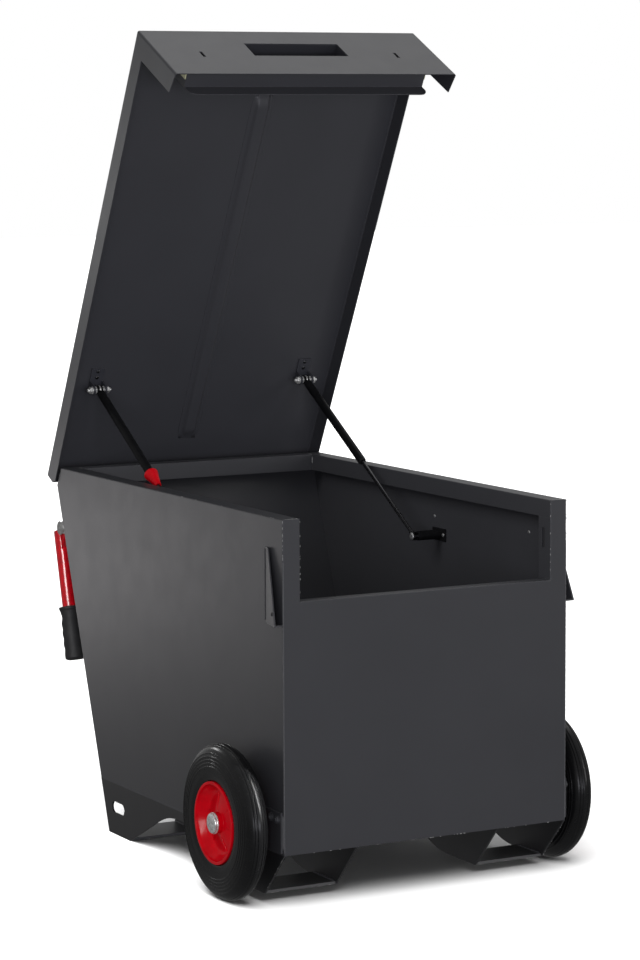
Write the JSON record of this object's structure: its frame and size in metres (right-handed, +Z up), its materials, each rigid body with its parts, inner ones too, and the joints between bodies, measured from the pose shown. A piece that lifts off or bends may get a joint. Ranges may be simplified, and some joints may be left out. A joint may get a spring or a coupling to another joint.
{
  "type": "mobile tool box",
  "caption": "Steel site tool chest on two solid wheels, with fork skids, a strut-held lid that opens rearwards, a low front opening, locks and folding lifting handles.",
  "frame": {"origin": "on the floor, below the middle of the part with its lid open", "axes": "+X across the box, to the right as seen from the front; +Y from the front panel to the rear wall; +Z up"},
  "size_m": [0.7832, 1.0819, 1.6688],
  "materials": {
    "coated_steel": "satin powder coat",
    "tyre_rubber": "satin",
    "red_plastic": "glossy",
    "red_enamel": "glossy enamel",
    "grip_rubber": "matt",
    "zinc_steel": "zinc plated",
    "black_enamel": "satin enamel",
    "dark_chrome": "black nitrided rod",
    "release_plastic": "satin",
    "nylon": "matt"
  },
  "bodies": {
    "box": {"front_panel": "coated_steel", "side_panel_left": "coated_steel", "side_panel_right": "coated_steel", "rear_panel": "coated_steel", "floor_panel": "coated_steel", "skid_outer_left": "coated_steel", "skid_outer_right": "coated_steel", "skid_inner_left": "coated_steel", "skid_inner_right": "coated_steel", "front_shoe_left": "coated_steel", "front_shoe_right": "coated_steel", "rear_shoe_left": "coated_steel", "rear_shoe_right": "coated_steel", "lid_guard_left": "coated_steel", "lid_guard_right": "coated_steel", "guard_rivets": "zinc_steel", "hinge_leaf_box": "coated_steel", "hinge_pin": "zinc_steel", "wall_bracket_left": "black_enamel", "wall_bracket_right": "black_enamel", "wall_bracket_pins": "zinc_steel", "axle_plate_left": "coated_steel", "axle_plate_right": "coated_steel", "axle_rings": "zinc_steel", "axle_plate_bolts": "zinc_steel", "handle_bracket_left": "zinc_steel", "handle_bracket_right": "zinc_steel", "handle_pins": "zinc_steel"},
    "lid": {"lid_shell": "coated_steel", "lid_rib": "coated_steel", "hinge_leaf_lid": "coated_steel", "lock_housing": "coated_steel", "hand_recess": "coated_steel", "lock_case_left": "coated_steel", "lock_case_right": "coated_steel", "lock_barrels": "zinc_steel", "lid_bracket_left": "black_enamel", "lid_bracket_right": "black_enamel", "lid_bracket_studs": "zinc_steel", "lid_bracket_screws": "black_enamel"},
    "lock_bolt_left": {"lock_bolt_left": "zinc_steel"},
    "strut_rod_left": {"strut_rod_left": "dark_chrome"},
    "strut_tube_left": {"strut_tube_left": "black_enamel"},
    "wheel_left": {"tyre_left": "tyre_rubber", "wheel_hub_left": "red_plastic", "wheel_bush_left": "nylon", "wheel_cap_left": "zinc_steel"},
    "handle_left": {"handle_tube_left": "red_enamel", "handle_grip_left": "grip_rubber"},
    "lock_bolt_right": {"lock_bolt_right": "zinc_steel"},
    "strut_rod_right": {"strut_rod_right": "dark_chrome"},
    "strut_tube_right": {"strut_tube_right": "black_enamel"},
    "wheel_right": {"tyre_right": "tyre_rubber", "wheel_hub_right": "red_plastic", "wheel_bush_right": "nylon", "wheel_cap_right": "zinc_steel"},
    "handle_right": {"handle_tube_right": "red_enamel", "handle_grip_right": "grip_rubber"},
    "release": {"strut_release": "release_plastic"}
  },
  "joints": [
    {"name": "lid_hinge", "type": "hinge", "parent": "box", "child": "lid", "pos_m": [0, 0.5076, 0.7168], "axis": [1, 0, 0], "range_deg": [0, 62.93], "stiffness_Nm_per_rad": 37, "springref_deg": -130.06},
    {"name": "lock_bolt_slide_left", "type": "slide", "parent": "lid", "child": "lock_bolt_left", "axis": [-1, 0, 0], "range_m": [0, 0.016]},
    {"name": "strut_foot_left", "type": "hinge", "parent": "box", "child": "strut_rod_left", "pos_m": [-0.25, -0.06, 0.626], "axis": [1, 0, 0], "range_deg": [-15.37, 0]},
    {"name": "strut_slide_left", "type": "slide", "parent": "strut_rod_left", "child": "strut_tube_left", "axis": [0, 0.8518, 0.5239], "range_m": [-0.2, 0]},
    {"name": "wheel_left_spin", "type": "hinge", "parent": "box", "child": "wheel_left", "pos_m": [-0.364, -0.389, 0.152], "axis": [1, 0, 0], "continuous": true},
    {"name": "handle_left_fold", "type": "hinge", "parent": "box", "child": "handle_left", "pos_m": [-0.296, 0.483, 0.62], "axis": [1, 0, 0], "range_deg": [-8, 104.4]},
    {"name": "lock_bolt_slide_right", "type": "slide", "parent": "lid", "child": "lock_bolt_right", "axis": [1, 0, 0], "range_m": [0, 0.016]},
    {"name": "strut_foot_right", "type": "hinge", "parent": "box", "child": "strut_rod_right", "pos_m": [0.25, -0.06, 0.626], "axis": [1, 0, 0], "range_deg": [-15.37, 0]},
    {"name": "strut_slide_right", "type": "slide", "parent": "strut_rod_right", "child": "strut_tube_right", "axis": [0, 0.8518, 0.5239], "range_m": [-0.2, 0]},
    {"name": "wheel_right_spin", "type": "hinge", "parent": "box", "child": "wheel_right", "pos_m": [0.364, -0.389, 0.152], "axis": [1, 0, 0], "continuous": true},
    {"name": "handle_right_fold", "type": "hinge", "parent": "box", "child": "handle_right", "pos_m": [0.296, 0.483, 0.62], "axis": [1, 0, 0], "range_deg": [-8, 104.4]},
    {"name": "release_slide", "type": "slide", "parent": "strut_tube_left", "child": "release", "axis": [0, -0.8518, -0.5239], "range_m": [0, 0.005], "stiffness_N_per_m": 600, "springref_m": -0.002}
  ],
  "couplings": [
    {"joint": "strut_foot_left", "follows": "lid_hinge", "ratio": -0.24105},
    {"joint": "strut_slide_left", "follows": "lid_hinge", "m_per_rad": -0.18115},
    {"joint": "strut_foot_right", "follows": "lid_hinge", "ratio": -0.24105},
    {"joint": "strut_slide_right", "follows": "lid_hinge", "m_per_rad": -0.18115}
  ]
}
